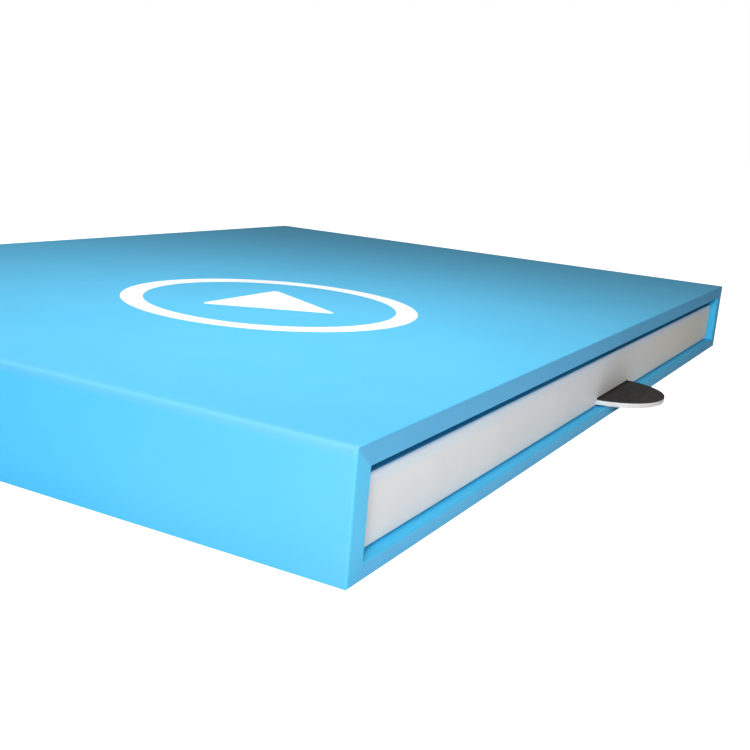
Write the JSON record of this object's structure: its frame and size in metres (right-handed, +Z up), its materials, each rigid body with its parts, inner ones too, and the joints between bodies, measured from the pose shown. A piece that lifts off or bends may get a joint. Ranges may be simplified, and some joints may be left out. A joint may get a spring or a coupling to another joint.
{
  "type": "lcd video brochure",
  "caption": "Video brochure in a rigid paper-wrapped sleeve: a tray with a small screen, speaker and buttons slides out by a half-moon pull tab.",
  "frame": {"origin": "centre of the sleeve's underside", "axes": "+Z up out of the top panel, +X along the sleeve's open mouth, the mouth faces -Y"},
  "size_m": [0.218, 0.1629, 0.018],
  "materials": {
    "blue_paper": "matte coated",
    "blue_liner": "matte",
    "base_paper": "matte",
    "greyboard": "raw",
    "magnet_nickel": "nickel plated",
    "white_paper": "smooth coated",
    "white_card": "smooth coated",
    "black_paper": "matte",
    "foam": "closed-cell foam",
    "clear_acrylic": "gloss",
    "lcd_glass": "gloss",
    "backlight_white": "matte",
    "black_steel": "satin",
    "ribbon_amber": "satin",
    "board_green": "solder mask",
    "chip_black": "matte",
    "connector_cream": "matte",
    "socket_steel": "satin",
    "socket_plastic": "matte",
    "reed_glass": "gloss",
    "adhesive": "tissue tape",
    "battery_foil": "pouch foil",
    "lead_red": "satin",
    "lead_black": "satin",
    "speaker_steel": "satin",
    "cone_paper": "matte",
    "speaker_ferrite": "satin",
    "button_plastic": "satin",
    "plunger_plastic": "matte"
  },
  "bodies": {
    "sleeve": {"sleeve_bottom_board": "greyboard", "sleeve_top_board": "greyboard", "sleeve_left_board": "greyboard", "sleeve_right_board": "greyboard", "sleeve_back_board": "greyboard", "sleeve_wrap": "blue_paper", "sleeve_liner": "blue_liner", "sleeve_base_sheet": "base_paper", "sleeve_magnet": "magnet_nickel"},
    "tray": {"tray_base_board": "greyboard", "tray_front_board": "greyboard", "tray_back_board": "greyboard", "tray_left_board": "greyboard", "tray_right_board": "greyboard", "tray_wrap": "white_paper", "tray_base_sheet": "white_paper", "deck_card": "white_card", "pull_tab_card": "white_card", "pull_tab_facing": "black_paper", "filler_frame": "foam", "lcd_support_pad": "foam", "board_pads": "foam", "speaker_gasket": "foam", "screen_window": "clear_acrylic", "lcd_panel": "lcd_glass", "lcd_backlight": "backlight_white", "lcd_bezel_frame": "black_steel", "lcd_ribbon": "ribbon_amber", "main_board": "board_green", "video_chip": "chip_black", "memory_chip": "chip_black", "passive_parts": "chip_black", "tact_switch_bodies": "chip_black", "battery_connector": "connector_cream", "speaker_connector": "connector_cream", "ribbon_connector": "connector_cream", "usb_shell": "socket_steel", "usb_tongue": "socket_plastic", "reed_switch": "reed_glass", "battery_pad": "adhesive", "battery_cell": "battery_foil", "battery_lead_red": "lead_red", "speaker_lead_red": "lead_red", "battery_lead_black": "lead_black", "speaker_lead_black": "lead_black", "speaker_frame": "speaker_steel", "speaker_cone": "cone_paper", "speaker_magnet": "speaker_ferrite"},
    "volume_down_key": {"volume_down_button": "button_plastic", "volume_down_plunger": "plunger_plastic"},
    "previous_key": {"previous_button": "button_plastic", "previous_plunger": "plunger_plastic"},
    "play_key": {"play_button": "button_plastic", "play_plunger": "plunger_plastic"},
    "next_key": {"next_button": "button_plastic", "next_plunger": "plunger_plastic"},
    "volume_up_key": {"volume_up_button": "button_plastic", "volume_up_plunger": "plunger_plastic"}
  },
  "joints": [
    {"name": "tray_slide", "type": "slide", "parent": "sleeve", "child": "tray", "axis": [0, -1, 0], "range_m": [0, 0.15]},
    {"name": "volume_down_press", "type": "slide", "parent": "tray", "child": "volume_down_key", "axis": [0, 0, -1], "range_m": [0, 0.00035], "stiffness_N_per_m": 400, "springref_m": -0.0002},
    {"name": "previous_press", "type": "slide", "parent": "tray", "child": "previous_key", "axis": [0, 0, -1], "range_m": [0, 0.00035], "stiffness_N_per_m": 400, "springref_m": -0.0002},
    {"name": "play_press", "type": "slide", "parent": "tray", "child": "play_key", "axis": [0, 0, -1], "range_m": [0, 0.00035], "stiffness_N_per_m": 400, "springref_m": -0.0002},
    {"name": "next_press", "type": "slide", "parent": "tray", "child": "next_key", "axis": [0, 0, -1], "range_m": [0, 0.00035], "stiffness_N_per_m": 400, "springref_m": -0.0002},
    {"name": "volume_up_press", "type": "slide", "parent": "tray", "child": "volume_up_key", "axis": [0, 0, -1], "range_m": [0, 0.00035], "stiffness_N_per_m": 400, "springref_m": -0.0002}
  ]
}
